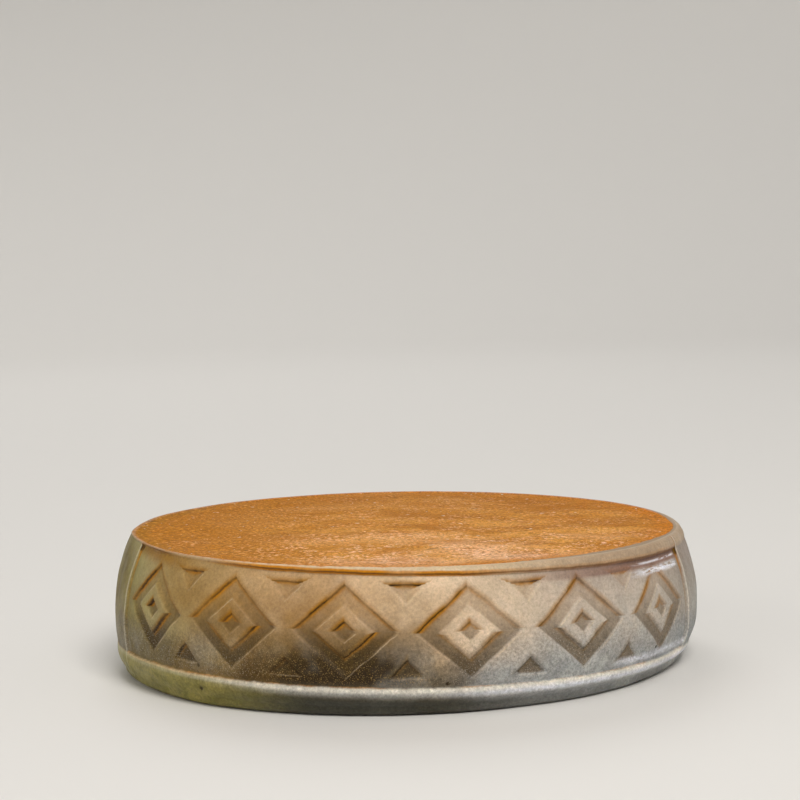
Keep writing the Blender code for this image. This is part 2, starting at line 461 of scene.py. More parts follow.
crest_heights = crest_level(azimuths)
edge_heights = crest_heights - edge_rounding(azimuths)
radius = belly_radius(np.clip(heights, FOOT_ROUND, edge_heights), around)
radius += lip_swell(heights, around)
radius -= quarter_inset(heights, FOOT_ROUND)
radius -= quarter_inset(crest_heights - heights, edge_rounding(azimuths))
radius -= PANEL_DEPTH * floor * step_fade(heights, around)
radius -= stroke_depth * floor * smooth(sunk, WALL_START, wall_end)
radius -= PIT_DEPTH * pit_share
radius += SLOW_SWELL * waves(smooth_side, SLOW_LENGTH, seed=14)
radius += QUICK_SWELL * waves(smooth_side, QUICK_LENGTH, seed=15)
side = turned_points(radius, around, heights)
print("radius from", round(1000 * radius.min(), 1), "to", round(1000 * radius.max(), 1), "mm")

# %% [markdown]
# ## The top face and the base
#
# The top face lies a little lower than its rim, like a plate. A grid of rings would crowd its points at
# the middle, and a flat n-gon could not carry any unevenness. Here each ring that gets too crowded is
# followed by one with half as many points, with three triangles across each pair of cells, so the faces
# stay about the same size down to the middle, which is closed by a fan.

# %% Rings that halve
RING_GAP = 0.0021
RING_SHRINK = 0.97
SHRINK_WITHIN = 0.03
CELL_WIDTH = 0.0020
LEAST_RING = 8
EVEN_RADIUS = 0.070


def ring_radii(start):
    """Radii of the rings from the edge inwards: each is the last less a gap, and near the middle the last
    times RING_SHRINK, less half a gap."""
    radii = [start]
    while radii[-1] > 2 * RING_GAP:
        last = radii[-1]
        radii.append(last - RING_GAP if last > SHRINK_WITHIN else last * RING_SHRINK - RING_GAP / 2)
    return radii[1:]


def halved_rings(edge_radius, first_index, edge_start, radii, coarse):
    """Rings from an edge of columns to the middle. Returns (radius, azimuth) of the new points, and faces.

    A ring halves when its cells are narrower than CELL_WIDTH, or at each ring if coarse is true.
    """
    count = len(azimuths)
    ring = edge_start + np.arange(count)
    start_radius = edge_radius.mean()
    rings, quads, triangles = [], [], []
    next_index = first_index
    for radius_now in radii:
        fewer = count > LEAST_RING and (coarse or 2 * math.pi * radius_now / count < CELL_WIDTH)
        new_count = count // 2 if fewer else count
        step = len(azimuths) // new_count
        even = azimuths[0] + 2 * math.pi * np.arange(new_count) / new_count
        share = float(smooth(radius_now, start_radius, EVEN_RADIUS))
        azimuth = azimuths[::step] * (1 - share) + even * share
        stretch = edge_radius[::step] - start_radius
        rings.append((radius_now + stretch * radius_now / start_radius, azimuth))
        new_ring = next_index + np.arange(new_count)
        next_index += new_count
        after = np.roll(new_ring, -1)
        if fewer:
            left, middle, right = ring[0::2], ring[1::2], np.roll(ring[0::2], -1)
            corners = ((left, middle, new_ring), (middle, after, new_ring), (middle, right, after))
            triangles += [np.stack(three, 1) for three in corners]
        else:
            quads.append(np.stack([ring, np.roll(ring, -1), after, new_ring], 1))
        ring, count = new_ring, new_count
    pole = np.full(count, next_index)
    triangles.append(np.stack([ring, np.roll(ring, -1), pole], 1))
    rings.append((np.zeros(1), np.zeros(1)))
    radius_all, azimuth_all = (np.concatenate(part) for part in zip(*rings))
    return radius_all, azimuth_all, quads, triangles


# %% The rim and the top face
RIM_ROWS = 4
SETTLE_WIDTH = 2.5 * CREST_WIDTH
FACE_SLOW = 0.00035
FACE_SLOW_LENGTH = 0.045
FACE_QUICK = 0.00014
FACE_QUICK_LENGTH = 0.008
FACE_FADE = 0.012

rim_share = (np.arange(1, RIM_ROWS + 1) / RIM_ROWS)[:, None]
rim_radius = radius[-1] - RIM_WIDTH * rim_share
rim_around = np.broadcast_to(azimuths, rim_radius.shape)


def face_height(radius_here, azimuth, rim):
    """Height of the rim and face: the top's level, less the sink over a smooth step, plus slow waves."""
    inward = rim - radius_here
    flat = turned_points(radius_here, azimuth, np.full_like(radius_here, WHEEL_HEIGHT))
    uneven = FACE_SLOW * waves(flat, FACE_SLOW_LENGTH, seed=21)
    uneven += FACE_QUICK * waves(flat, FACE_QUICK_LENGTH, seed=22)
    settled = smooth(inward, 0.0, SETTLE_WIDTH)
    return top_level(radius_here, azimuth) - FACE_SINK * settled + uneven * smooth(inward, 0.0, FACE_FADE)


rim = turned_points(rim_radius, rim_around, face_height(rim_radius, rim_around, radius[-1]))
rows_above_base = len(heights) + RIM_ROWS
column_count = len(azimuths)
top_start = rows_above_base * column_count
top_radius, top_azimuth, top_quads, top_triangles = halved_rings(
    rim_radius[-1], top_start, top_start - column_count, ring_radii(rim_radius[-1].mean()), coarse=False
)
crest_at = np.interp(top_azimuth % (2 * math.pi), azimuths % (2 * math.pi), radius[-1], period=2 * math.pi)
top = turned_points(top_radius, top_azimuth, face_height(top_radius, top_azimuth, crest_at))
print("top face:", len(top), "points")

# %% The base
BASE_RINGS = 8

base_start = top_start + len(top)
base_radii = radius[0].mean() * (1 - np.arange(1, BASE_RINGS) / BASE_RINGS)
base_radius, base_azimuth, base_quads, base_triangles = halved_rings(
    radius[0], base_start, 0, base_radii, coarse=True
)
base = turned_points(base_radius, base_azimuth, np.zeros_like(base_radius))
print("base:", len(base), "points")

# %% [markdown]
# ## The skin as one closed mesh
#
# The side, the rim, the top face and the base share their edge points, so the skin is closed. What the
# finish needs to know about each point is kept with the mesh as named attributes: how far it lies inside
# a stroke, above the lower lip, below the upper lip, inside the panel's ends and inside the rim.
# Interpolated across a face, a distance stays exact, so a thin line drawn by it is crisper than the mesh.

# %% The mesh
def side_faces(rows, columns):
    """Quads between each row and the next, and each column and the next round the wheel."""
    corner = (np.arange(rows - 1)[:, None] * columns + np.arange(columns)).ravel()
    beside = (np.arange(rows - 1)[:, None] * columns + (np.arange(columns) + 1) % columns).ravel()
    return np.stack([corner, beside, beside + columns, corner + columns], 1)


points = np.concatenate([side.reshape(-1, 3), rim.reshape(-1, 3), top, base])
upward = [side_faces(rows_above_base, column_count)] + top_quads + top_triangles
downward = [faces[:, ::-1] for faces in base_quads + base_triangles]
skin_mesh = bpy.data.meshes.new("cheese_rind")
skin_mesh.from_pydata(points, [], [face for faces in upward + downward for face in faces.tolist()])
skin_mesh.shade_smooth()
skin = bpy.data.objects.new("cheese_rind", skin_mesh)
bpy.context.scene.collection.objects.link(skin)
skin_mesh.calc_loop_triangles()
print("triangles:", len(skin_mesh.loop_triangles))

# %% What each point knows
MILLIMETRE = 0.001
FAR = 20.0
END_BLUR = 0.0005
FLOOR_LEAST = 0.02


def keep(name, on_side, elsewhere):
    """Stores a value for each point: an array over the side's grid, and one value beyond it."""
    values = np.full(len(points), float(elsewhere), np.float32)
    values[: heights.size] = np.asarray(on_side, float).ravel()
    skin_mesh.attributes.new(name, "FLOAT", "POINT").data.foreach_set("value", values)


in_panel = smooth(inside_ends(around), -END_BLUR, END_BLUR)
within = np.where(floor > FLOOR_LEAST, sunk / MILLIMETRE, -FAR)
keep("sunk", np.clip(within, -FAR, FAR), -FAR)
keep("facing_down", facing_down, 0)
keep("facing_right", facing_right, 0)
keep("stroke_depth", stroke_depth / FRIEZE_DEPTH, 0)
keep("above_low", (heights - panel_low(around)) / MILLIMETRE, FAR)
keep("below_high", (panel_high(around) - heights) / MILLIMETRE, FAR)
keep("inside_ends", inside_ends(around) / MILLIMETRE, FAR)
keep("in_panel", in_panel, 0)
keep("pit", pit_share, 0)
inward = np.full(len(points), -FAR, np.float32)
inward[: heights.size] = (heights - crest_heights).ravel() / MILLIMETRE
rim_slice = slice(heights.size, heights.size + rim_radius.size)
inward[rim_slice] = (radius[-1] - rim_radius).ravel() / MILLIMETRE
inward[top_start:base_start] = (crest_at - top_radius) / MILLIMETRE
skin_mesh.attributes.new("inward", "FLOAT", "POINT").data.foreach_set("value", inward)
print("attributes:", sorted(a.name for a in skin_mesh.attributes if not a.name.startswith(".")))

# %% [markdown]
# ## The finish of the rind
#
# A washed rind is wiped with brine while it ripens. It turns orange to brown where the cloth rubs, on the
# top face above all, and stays pale where the mould was tight. The finish is one material, because the
# rind is one skin. It could be painted, but a node tree repeats for any wheel. It is built up in layers, as
# a scene painter does: a ground colour, broad stains and painted shade, thin lines along the edges of the
# relief, some of them painted shadows and highlights, fine grain, and last gloss and bump.

# %% The material
rind = bpy.data.materials.new("washed_rind")
rind.use_nodes = True
tree = rind.node_tree
shader = tree.nodes["Principled BSDF"]
place = tree.nodes.new("ShaderNodeTexCoord").outputs["Object"]
print("shader:", shader.name)


# %% Colours as light
def tint(red, green, blue):
    """An sRGB colour from 0 to 255 as the linear values that light needs. With c as a share of 255, that is
    c / 12.92 where it is very dark, and ((c + 0.055) / 1.055)^2.4 above."""
    parts = [c / 255 for c in (red, green, blue)]
    return [c / 12.92 if c <= 0.04045 else ((c + 0.055) / 1.055) ** 2.4 for c in parts] + [1.0]


# %% Sums on the nodes
def feed(target, source):
    """Joins a socket to a socket, or sets a plain value on it."""
    if isinstance(source, bpy.types.NodeSocket):
        tree.links.new(source, target)
    else:
        target.default_value = source


def maths(operation, *values):
    """One Math node."""
    node = tree.nodes.new("ShaderNodeMath")
    node.operation = operation
    for socket, value in zip(node.inputs, values):
        feed(socket, value)
    return node.outputs[0]


def times(*values):
    """The product of all the values."""
    product = values[0]
    for value in values[1:]:
        product = maths("MULTIPLY", product, value)
    return product


def ramp(value, start, end, low=0.0, high=1.0):
    """Goes smoothly from low, where the value is at start, to high, where it is at end."""
    node = tree.nodes.new("ShaderNodeMapRange")
    node.interpolation_type = "SMOOTHSTEP"
    limits = {"Value": value, "From Min": start, "From Max": end, "To Min": low, "To Max": high}
    for name, part in limits.items():
        feed(node.inputs[name], part)
    return node.outputs["Result"]


def line(value, middle, half_width):
    """1 on a line and 0 beyond its half width: a smooth step up times a smooth step down."""
    return times(ramp(value, middle - half_width, middle), ramp(value, middle + half_width, middle))


# %% Layers of colour
def over(ground, colour, share):
    """Lays a colour over the ground, by a share from 0 to 1."""
    node = tree.nodes.new("ShaderNodeMix")
    node.data_type = "RGBA"
    feed(node.inputs[0], share)
    feed(node.inputs[6], ground)
    feed(node.inputs[7], colour)
    return node.outputs[2]


def painted(ground, *layers):
    """Lays colours over the ground in turn; each layer is a colour and its share."""
    for colour_now, share_now in layers:
        ground = over(ground, colour_now, share_now)
    return ground


def shaded(ground, shade):
    """Multiplies a colour by a brightness."""
    node = tree.nodes.new("ShaderNodeVectorMath")
    node.operation = "SCALE"
    feed(node.inputs[0], ground)
    feed(node.inputs["Scale"], shade)
    return node.outputs[0]


# %% Noise
def grain(size, detail=2.0, roughness=0.55, where=None):
    """Noise whose features are about this size in metres, as a value round 0.5: its scale is 1 / size."""
    node = tree.nodes.new("ShaderNodeTexNoise")
    feed(node.inputs["Vector"], place if where is None else where)
    node.inputs["Scale"].default_value = 1 / size
    node.inputs["Detail"].default_value = detail
    node.inputs["Roughness"].default_value = roughness
    return node.outputs["Fac"]


def wander(size, detail, amount, roughness=0.55):
    """Noise round 0, whose whole range is this amount: (noise - 0.5) times the amount."""
    return times(maths("SUBTRACT", grain(size, detail, roughness), 0.5), amount)


def stretched(x=1.0, y=1.0, z=1.0, turn=0.0, shift=0.0):
    """The place in space, times a scale along each axis, turned about Z and shifted. A scale below 1 draws a
    pattern out along that axis, and a shift gives another part of the same noise."""
    node = tree.nodes.new("ShaderNodeMapping")
    feed(node.inputs["Vector"], place)
    node.inputs["Scale"].default_value = (x, y, z)
    node.inputs["Rotation"].default_value = (0, 0, turn)
    node.inputs["Location"].default_value = (shift, shift, shift)
    return node.outputs["Vector"]


# %% Values from the mesh, and spots
def known(name):
    """A value that the mesh keeps for each point."""
    node = tree.nodes.new("ShaderNodeAttribute")
    node.attribute_name = name
    return node.outputs["Fac"]


SPOT_CORE = 0.3


def spot(x_at, y_at, z_at, size, frayed=0.5):
    """A soft round patch: a smooth step of the distance from its middle, frayed by noise. It is 0 at its
    size and 1 from SPOT_CORE of its size inwards."""
    node = tree.nodes.new("ShaderNodeVectorMath")
    node.operation = "DISTANCE"
    feed(node.inputs[0], place)
    node.inputs[1].default_value = (x_at, y_at, z_at)
    fray = wander(size / 2, 3, 2 * frayed * size)
    return ramp(maths("ADD", node.outputs["Value"], fray), size, size * SPOT_CORE)


# %% [markdown]
# ### The side
#
# The upper half of the side is cream to tan, and greyer on the right. Below the belly the side is darker,
# to earthy brown on the left and to pewter grey on the right, under a silvery bloom: partly the rind's own
# colour and partly painted shade where the side turns under. The left end leans to moss green, and low
# down, left of the middle, lies a dark patch of brown stain deepened by painted shade. Each pair of numbers
# says where a colour starts and where it is full, in metres along x or in height, and the last number in a
# layer's share says how strong the layer is.

# %% Colours of the side
CREAM = tint(222, 196, 164)
TAN = tint(198, 170, 132)
ASH = tint(174, 166, 156)
EARTH = tint(98, 82, 46)
TOBACCO = tint(112, 80, 16)
PEWTER = tint(140, 145, 147)
UMBER = tint(66, 48, 10)
SILVER = tint(184, 184, 178)
MOSS = tint(138, 131, 68)
OLIVE = tint(146, 136, 66)
OCHRE = tint(148, 100, 2)
DARK_LINE = tint(46, 30, 0)
PLUM = tint(132, 100, 86)
SLATE = tint(60, 60, 50)
HAZEL = tint(104, 88, 66)
CLAY = tint(114, 106, 90)

# %% Places on the side
LEFT_SPAN = (-0.030, -0.130)
LEFT_END = (-0.115, -0.138)
LEFT_STRIP = (-0.118, -0.134)
RIGHT_SPAN = (-0.01, 0.10)
RIGHT_END = (0.110, 0.138)
RIGHT_STRIP = (0.112, 0.130)
LOW_HEIGHTS = (0.038, 0.014)
BROWN_HEIGHTS = (0.060, 0.040)
YELLOW_HEIGHTS = (0.030, 0.050)
PLUM_HEIGHTS = (0.038, 0.056)
BLOOM_HEIGHTS = (0.044, 0.020)
# The dark spot low on the front: brown stain deepened by painted shade.
DARK_SPOT = (-0.030, -0.137, 0.014)
DARK_SPOT_SIZE = 0.054
# A grey spot on the front of the roll: painted shade.
SLATE_SPOT = (0.016, -0.137, 0.012)
SLATE_SPOT_SIZE = 0.018
# The dark patch over the dark spot, on the front: brown stain deepened by painted shade.
DARK_PATCH_FOOT = (0.009, 0.015)
DARK_PATCH_HEAD = (0.029, 0.021)
DARK_PATCH_LEFT = (-0.066, -0.036)
DARK_PATCH_RIGHT = (0.014, -0.006)
WISP_SIZE = 0.012

# %% What the finish can read
position = tree.nodes.new("ShaderNodeSeparateXYZ")
feed(position.inputs[0], place)
x, y, z = (position.outputs[axis] for axis in "XYZ")
above_low = known("above_low")
below_high = known("below_high")
sunk_in = known("sunk")
ends = known("inside_ends")
paneled = known("in_panel")
in_from_rim = known("inward")

# %% Ground colour of the side
leftness = ramp(x, *LEFT_SPAN)
rightness = ramp(x, *RIGHT_SPAN)
side_coat = over(CREAM, TAN, times(ramp(grain(0.030, 3), 0.35, 0.65), 0.7))
side_coat = painted(
    side_coat,
    (ASH, times(rightness, 0.85)),
    (PEWTER, times(ramp(x, *RIGHT_END), 0.35)),
    (HAZEL, times(ramp(x, *RIGHT_STRIP), 0.30)),
    (MOSS, times(leftness, 0.8)),
    (OLIVE, times(ramp(x, *LEFT_END), 0.6)),
)
# Darker, patchy earth colour towards the left end.
left_strip_darkening = ramp(grain(0.016, 3, 0.6, stretched(shift=10.9)), 0.40, 0.62, 0.50, 0.85)
side_coat = over(side_coat, EARTH, times(ramp(x, *LEFT_STRIP), left_strip_darkening))
drift = wander(0.040, 2, 0.030)
lowness = ramp(maths("ADD", z, drift), *LOW_HEIGHTS)
# Below the belly the side darkens to earthy brown and pewter grey: partly the rind's own colour, partly
# painted shade where the side turns under.
low_colour = over(EARTH, PEWTER, ramp(x, 0.0, 0.035))
side_coat = over(side_coat, low_colour, times(lowness, 0.85))
# From the left end to the middle, below the top of the panel, a golden-brown darkening: partly brown rind
# and partly painted shade.
brown_and_shade = times(ramp(z, *BROWN_HEIGHTS), ramp(x, 0.040, -0.010), ramp(x, -0.120, -0.080))
brown_and_shade = times(brown_and_shade, ramp(grain(0.020, 2, 0.5, stretched(shift=5.7)), 0.36, 0.60, 0.35, 0.85))
side_coat = over(side_coat, TOBACCO, times(brown_and_shade, 0.90))
# Golden ochre across the left half, and at the upper right a plum tint that is painted shade from under the
# overhanging bead.
yellowed = times(ramp(z, *YELLOW_HEIGHTS), ramp(x, 0.010, -0.040), ramp(x, -0.125, -0.100))
side_coat = painted(
    side_coat,
    (OCHRE, times(yellowed, 0.50)),
    (PLUM, times(ramp(z, *PLUM_HEIGHTS), ramp(x, 0.040, 0.090), 0.28)),
)
print("nodes up to the ground of the side:", len(tree.nodes))

# %% Dark places low on the side
patches = ramp(grain(0.045, 2, 0.5, stretched(shift=0.37)), 0.50, 0.68)
side_coat = over(side_coat, UMBER, times(patches, lowness, ramp(rightness, 0, 1, 0.6, 0.2)))
# Low down, left of the middle, on the front: a dark spot and a darker patch over it, brown stain deepened by
# painted shade.
dark_spot = times(spot(*DARK_SPOT, DARK_SPOT_SIZE), ramp(z, 0.040, 0.024))
side_coat = over(side_coat, UMBER, dark_spot)
wisps = wander(WISP_SIZE, 3, WISP_SIZE)
drifting_z = maths("ADD", z, wisps)
drifting_x = maths("ADD", x, wisps)
stain_and_shade_patch = times(ramp(drifting_z, *DARK_PATCH_FOOT), ramp(drifting_z, *DARK_PATCH_HEAD))
stain_and_shade_patch = times(stain_and_shade_patch, ramp(drifting_x, *DARK_PATCH_LEFT), ramp(drifting_x, *DARK_PATCH_RIGHT))
side_coat = over(side_coat, DARK_LINE, times(stain_and_shade_patch, ramp(y, 0.0, -0.05), 0.85))
washed = times(ramp(z, 0.017, 0.013), ramp(x, -0.085, -0.050), ramp(x, 0.020, 0.0))
# A greyer band just above the roll, and a grey spot of painted shade on the front of the roll.
side_coat = painted(
    side_coat,
    (CLAY, times(washed, 0.20)),
    (SLATE, times(spot(*SLATE_SPOT, SLATE_SPOT_SIZE), 0.35)),
)
bloom = ramp(grain(0.038, 3, 0.6, stretched(shift=1.91)), 0.50, 0.66)
bloom = times(bloom, ramp(z, *BLOOM_HEIGHTS), ramp(rightness, 0, 1, 0.2, 0.7))
side_coat = over(side_coat, SILVER, bloom)
print("nodes up to the dark places:", len(tree.nodes))

# %% [markdown]
# ### The strokes
#
# Brine and smear collect under the upper edges of the sunk strokes, where the cloth can't reach, as an ochre
# halo round them and an amber line, strongest high on the panel. Along those edges a thin dark line is
# painted shadow of the upper wall, darkened by the same stain. The floors of the strokes are darker than
# the panel, most of all low down, and a thin pale line along the lower edges is a painted highlight.

# %% Colours of the strokes
AMBER = tint(186, 120, 0)
BONE = tint(200, 178, 144)

# %% Widths along the strokes, in millimetres inside them
FLOOR_EDGE = (0.1, 1.2)
HALO_OUTSIDE = (-2.6, -0.2)
HALO_INSIDE = (3.2, 0.4)
AMBER_LINE = (0.7, 1.3)
DARK_EDGE = (0.25, 0.85)
PALE_EDGE = (-0.1, 0.45)
RAGGED = 0.8

# %% Stains along the strokes
depth_share = known("stroke_depth")
facing_down = known("facing_down")
facing_right = known("facing_right")
# How much a wall faces down and right, away from the light: the side where painted shade falls and stain
# gathers.
shadowed = maths("ADD", times(facing_down, 0.9), times(facing_right, 0.35))
shade_and_stain_side = ramp(shadowed, 0.20, 0.80)
lit_edge_side = ramp(shadowed, -0.35, -0.75)
highness = ramp(z, 0.016, 0.044)
floor_share = ramp(sunk_in, *FLOOR_EDGE)
side_coat = over(side_coat, OCHRE, times(floor_share, highness, 0.18))
floor_colour = over(UMBER, HAZEL, rightness)
floor_depth = ramp(z, 0.052, 0.022, ramp(rightness, 0, 1, 0.12, 0.03), 0.85)
side_coat = over(side_coat, floor_colour, times(floor_share, floor_depth))
patchy = ramp(grain(0.012, 2, 0.5), 0.36, 0.60)
halo = times(ramp(sunk_in, *HALO_OUTSIDE), ramp(sunk_in, *HALO_INSIDE))
halo_strength = times(shade_and_stain_side, ramp(highness, 0, 1, 0.45, 1.0), ramp(patchy, 0, 1, 0.6, 1))
side_coat = over(side_coat, over(EARTH, OCHRE, highness), times(halo, halo_strength))
print("nodes up to the stains along the strokes:", len(tree.nodes))

# %% Lines along the edges of the strokes
ragged = maths("ADD", sunk_in, wander(0.0025, 2, RAGGED))
amber_share = times(ramp(patchy, 0, 1, 0.4, 0.8), ramp(highness, 0, 1, 0.15, 1.0))
amber_share = times(amber_share, ramp(rightness, 0, 1, 1.0, 0.5))
side_coat = over(side_coat, AMBER, times(line(ragged, *AMBER_LINE), shade_and_stain_side, amber_share))
# A thin dark line along those edges: painted shadow of the upper wall, with brown stain.
dark = times(line(ragged, *DARK_EDGE), shade_and_stain_side, ramp(patchy, 0, 1, 0.6, 1.0))
dark = times(dark, ramp(depth_share, 0.45, 0.8, 0.7, 1.0))
side_coat = over(side_coat, DARK_LINE, dark)
# A thin pale line along the lower edges: a painted highlight where the edge faces the light.
pale = times(line(ragged, *PALE_EDGE), lit_edge_side, ramp(patchy, 0, 1, 0.10, 0.45))
side_coat = over(side_coat, BONE, times(pale, ramp(z, 0.014, 0.030, 0.35, 1.0)))
print("nodes up to the lines along the strokes:", len(tree.nodes))

# %% [markdown]
# ### The lips and the panel's border
#
# The bead above the panel is pale as bone, with painted light on its top and painted shade underneath. The
# groove under it is the most orange line on the side, with a rusty core of stain and painted shadow from
# the overhanging bead, and on the right it turns to a band of plum painted shade. The roll below the panel
# has a painted highlight along its top and painted shade underneath, and is olive on the left. Painted
# highlights sit in the right-hand corners.

# %% Colours of the lips
RUST = tint(100, 60, 0)
DUSK = tint(86, 60, 52)
HIGHLIGHT_WHITE = tint(238, 240, 250)
PEARL = tint(224, 218, 204)
FERN = tint(88, 86, 26)
ORANGE = tint(210, 144, 56)
FAWN = tint(168, 146, 120)
GOLD = tint(206, 168, 96)

# %% Lines along the lips: middle and half width, in millimetres from the edge they follow
GROOVE_CORE = (-0.5, 0.8)
# Painted highlights: the glints, and on the roll its shine and its lower highlight.
THIN_GLINT = (2.4, 0.8)
WIDE_GLINT = (6.2, 2.6)
LOW_GLINT = (3.2, 3.0)
TREAD_LINE = (-0.3, 0.9)
TINGED_LINE = (0.3, 0.5)
ROLL_SHINE = (-1.2, 1.6)
ROLL_LOW_HIGHLIGHT = (-2.6, 2.4)
END_STAIN = (0.8, 1.3)
# An ochre line at the foot of the panel's end step, stain and painted shade, and a painted highlight on the
# ridge.
END_GROOVE = (0.9, 1.2)
END_RIDGE = (-0.7, 0.7)

# %% Stains and painted shade under the upper lip
corner = times(ramp(below_high, 5.0, 0.5), ramp(below_high, -0.8, 0.0))
corner = times(corner, ramp(ends, 5.0, 0.5), ramp(ends, -0.5, 0.0))
end_stain = times(line(ends, *END_STAIN), ramp(below_high, 16.0, 3.0), paneled)
side_coat = over(side_coat, AMBER, times(end_stain, 0.9))
wavering = maths("ADD", below_high, wander(0.009, 2, 1.0))
stained = times(ramp(below_high, 7.0, 1.5), line(x, -0.112, 0.026), paneled)
# A plum band of painted shade just under the bead on the right, where it overhangs.
plum_band = times(ramp(below_high, 5.5, 3.5), paneled)
side_coat = painted(
    side_coat,
    (PLUM, times(plum_band, ramp(x, 0.030, 0.100, 0.0, 0.85))),
    (OCHRE, times(stained, 0.80)),
)
# Darker still in the right-hand corner under the bead: painted shade.
dusky = times(ramp(below_high, 2.4, 0.6), ramp(x, 0.080, 0.105), paneled)
side_coat = over(side_coat, DUSK, times(dusky, 0.75))
print("nodes up to the stains under the lip:", len(tree.nodes))

# %% The bead and the groove
groove_share = times(paneled, ramp(rightness, 0, 1, 1.0, 0.75), ramp(x, -0.092, -0.070))
groove_share = times(groove_share, ramp(grain(0.020, 2), 0.3, 0.6, 0.75, 1.0))
lip_colour = over(BONE, FAWN, ramp(x, 0.00, 0.09))
lip_colour = over(lip_colour, OCHRE, ramp(x, -0.060, -0.115, 0.0, 0.55))
# Painted light on the bead's top and painted shade towards its underside.
lip_colour = shaded(lip_colour, ramp(below_high, -2.6, 0.0, 1.05, 0.80))
lip_share = times(ramp(below_high, -0.1, -0.5), ramp(leftness, 0, 1, 0.95, 0.6))
side_coat = over(side_coat, lip_colour, lip_share)
groove = times(ramp(wavering, 0.9, 0.1), ramp(wavering, -2.3, -1.5), groove_share)
side_coat = over(side_coat, AMBER, times(groove, ramp(x, 0.020, 0.060, 1.0, 0.3)))
# The groove's rusty core: stain, and painted shadow of the overhanging bead.
core_share = maths("MAXIMUM", groove_share, times(paneled, ramp(x, -0.100, -0.112)))
side_coat = painted(
    side_coat,
    (RUST, times(line(wavering, *GROOVE_CORE), core_share)),
    (AMBER, times(corner, 0.8)),
    (DARK_LINE, times(ramp(corner, 0.20, 0.55), 0.95)),
)
print("nodes up to the bead and groove:", len(tree.nodes))

# %% Glints in the corners
# Painted highlights: white streaks under the bead and a patch above the roll, in the right-hand corners of
# the panel.
glint_place = times(ramp(x, 0.098, 0.110), ramp(ends, 2.0, 7.0), paneled)
broken = ramp(grain(0.005, 3, 0.7, stretched(0.5, 0.5, 3)), 0.40, 0.54)
side_coat = painted(
    side_coat,
    (HIGHLIGHT_WHITE, times(line(below_high, *THIN_GLINT), glint_place, broken, 0.75)),
    (HIGHLIGHT_WHITE, times(line(below_high, *WIDE_GLINT), glint_place, broken, 0.80)),
)
low_glint = times(ramp(x, 0.086, 0.100), paneled, ramp(broken, 0, 1, 0.6, 1.0))
side_coat = over(side_coat, HIGHLIGHT_WHITE, times(line(above_low, *LOW_GLINT), low_glint, 0.60))
print("nodes up to the glints:", len(tree.nodes))

# %% The roll below the panel
# The roll's top: a painted silvery highlight, weaker on the left.
roll = ramp(above_low, 0.0, -0.8)
silvery = times(roll, ramp(above_low, -6.0, -1.5), ramp(leftness, 0, 1, 0.75, 0.35))
side_coat = over(side_coat, SILVER, silvery)
# The roll's underside: painted shade, strongest on the left.
under = ramp(above_low, ramp(rightness, 0, 1, -2.5, -5.0), ramp(rightness, 0, 1, -7.0, -9.0))
side_coat = painted(
    side_coat,
    (SLATE, times(under, ramp(rightness, 0, 1, 0.9, 0.35))),
    (OLIVE, times(roll, ramp(x, -0.040, -0.100), 0.85)),
)
fern_patches = ramp(grain(0.006, 3, 0.6, stretched(0.7, 0.7, 1, shift=4.9)), 0.42, 0.58)
fern_patches = times(fern_patches, ramp(above_low, -1.5, -6.0, 0.3, 1.0))
side_coat = over(side_coat, FERN, times(roll, fern_patches, ramp(x, -0.030, -0.090), 0.42))
print("nodes up to the roll:", len(tree.nodes))

# %% The edge of the roll and the ends of the panel
tread = maths("ADD", above_low, wander(0.004, 3, 1.2))
tread_colour = over(PEARL, GOLD, ramp(leftness, 0, 1, 0.1, 0.8))
# Along the roll's upper edge a pale line, a painted highlight tinted gold on the left, and below it painted
# highlights on the roll's shoulder.
side_coat = painted(
    side_coat,
    (tread_colour, times(line(tread, *TREAD_LINE), ramp(paneled, 0, 1, 0.3, 0.6))),
    (PEARL, times(line(above_low, *ROLL_SHINE), ramp(leftness, 0, 1, 0.75, 0.15))),
    (HIGHLIGHT_WHITE, times(line(above_low, *ROLL_LOW_HIGHLIGHT), ramp(x, 0.00, 0.06), 0.65)),
)
# An orange tinge along the roll's edge. Along each panel end an ochre line of stain and painted shade and a
# pale painted highlight on the ridge; painted shade in the pits.
tinged = ramp(grain(0.016, 2), 0.42, 0.60)
side_coat = painted(
    side_coat,
    (ORANGE, times(line(tread, *TINGED_LINE), paneled, tinged, 0.30)),
    (OCHRE, times(line(ends, *END_GROOVE), ramp(z, 0.020, 0.055, 0.1, 0.5))),
    (PEARL, times(line(ends, *END_RIDGE), ramp(leftness, 0, 1, 0.5, 0.35))),
    (DARK_LINE, times(ramp(known("pit"), 0.15, 0.6), ramp(z, 0.024, 0.016), 0.9)),
)
print("nodes up to the edge of the roll:", len(tree.nodes))

# %% Grain of the side
SAND_SIZE = 0.0013
MOTTLE_SIZE = 0.0045
CLOUDY_SIZE = 0.014
SPECK_SIZE = 0.0005

sand = grain(SAND_SIZE, 3, 0.80)
sand_share = times(ramp(z, 0.024, 0.040, 2.0, 1.0), ramp(above_low, -1.0, 1.0, 0.8, 1.0))
sand_shade = times(maths("SUBTRACT", sand, 0.5), sand_share)
side_coat = shaded(side_coat, maths("ADD", sand_shade, 1.0))
mottle = grain(MOTTLE_SIZE, 2, 0.6, stretched(shift=6.1))
side_coat = shaded(side_coat, ramp(mottle, 0.30, 0.70, ramp(z, 0.020, 0.035, 0.86, 0.94), 1.05))
cloudy = grain(CLOUDY_SIZE, 2, 0.5, stretched(shift=8.3))
side_coat = shaded(side_coat, ramp(cloudy, 0.30, 0.70, 0.93, 1.06))
speck_places = ramp(grain(SPECK_SIZE, 1, 0.5, stretched(shift=3.3)), 0.58, 0.70)
specks = times(speck_places, lowness, ramp(above_low, 0.0, 3.0))
away = maths("MAXIMUM", ramp(x, 0.0, 0.03), ramp(x, -0.05, -0.09))
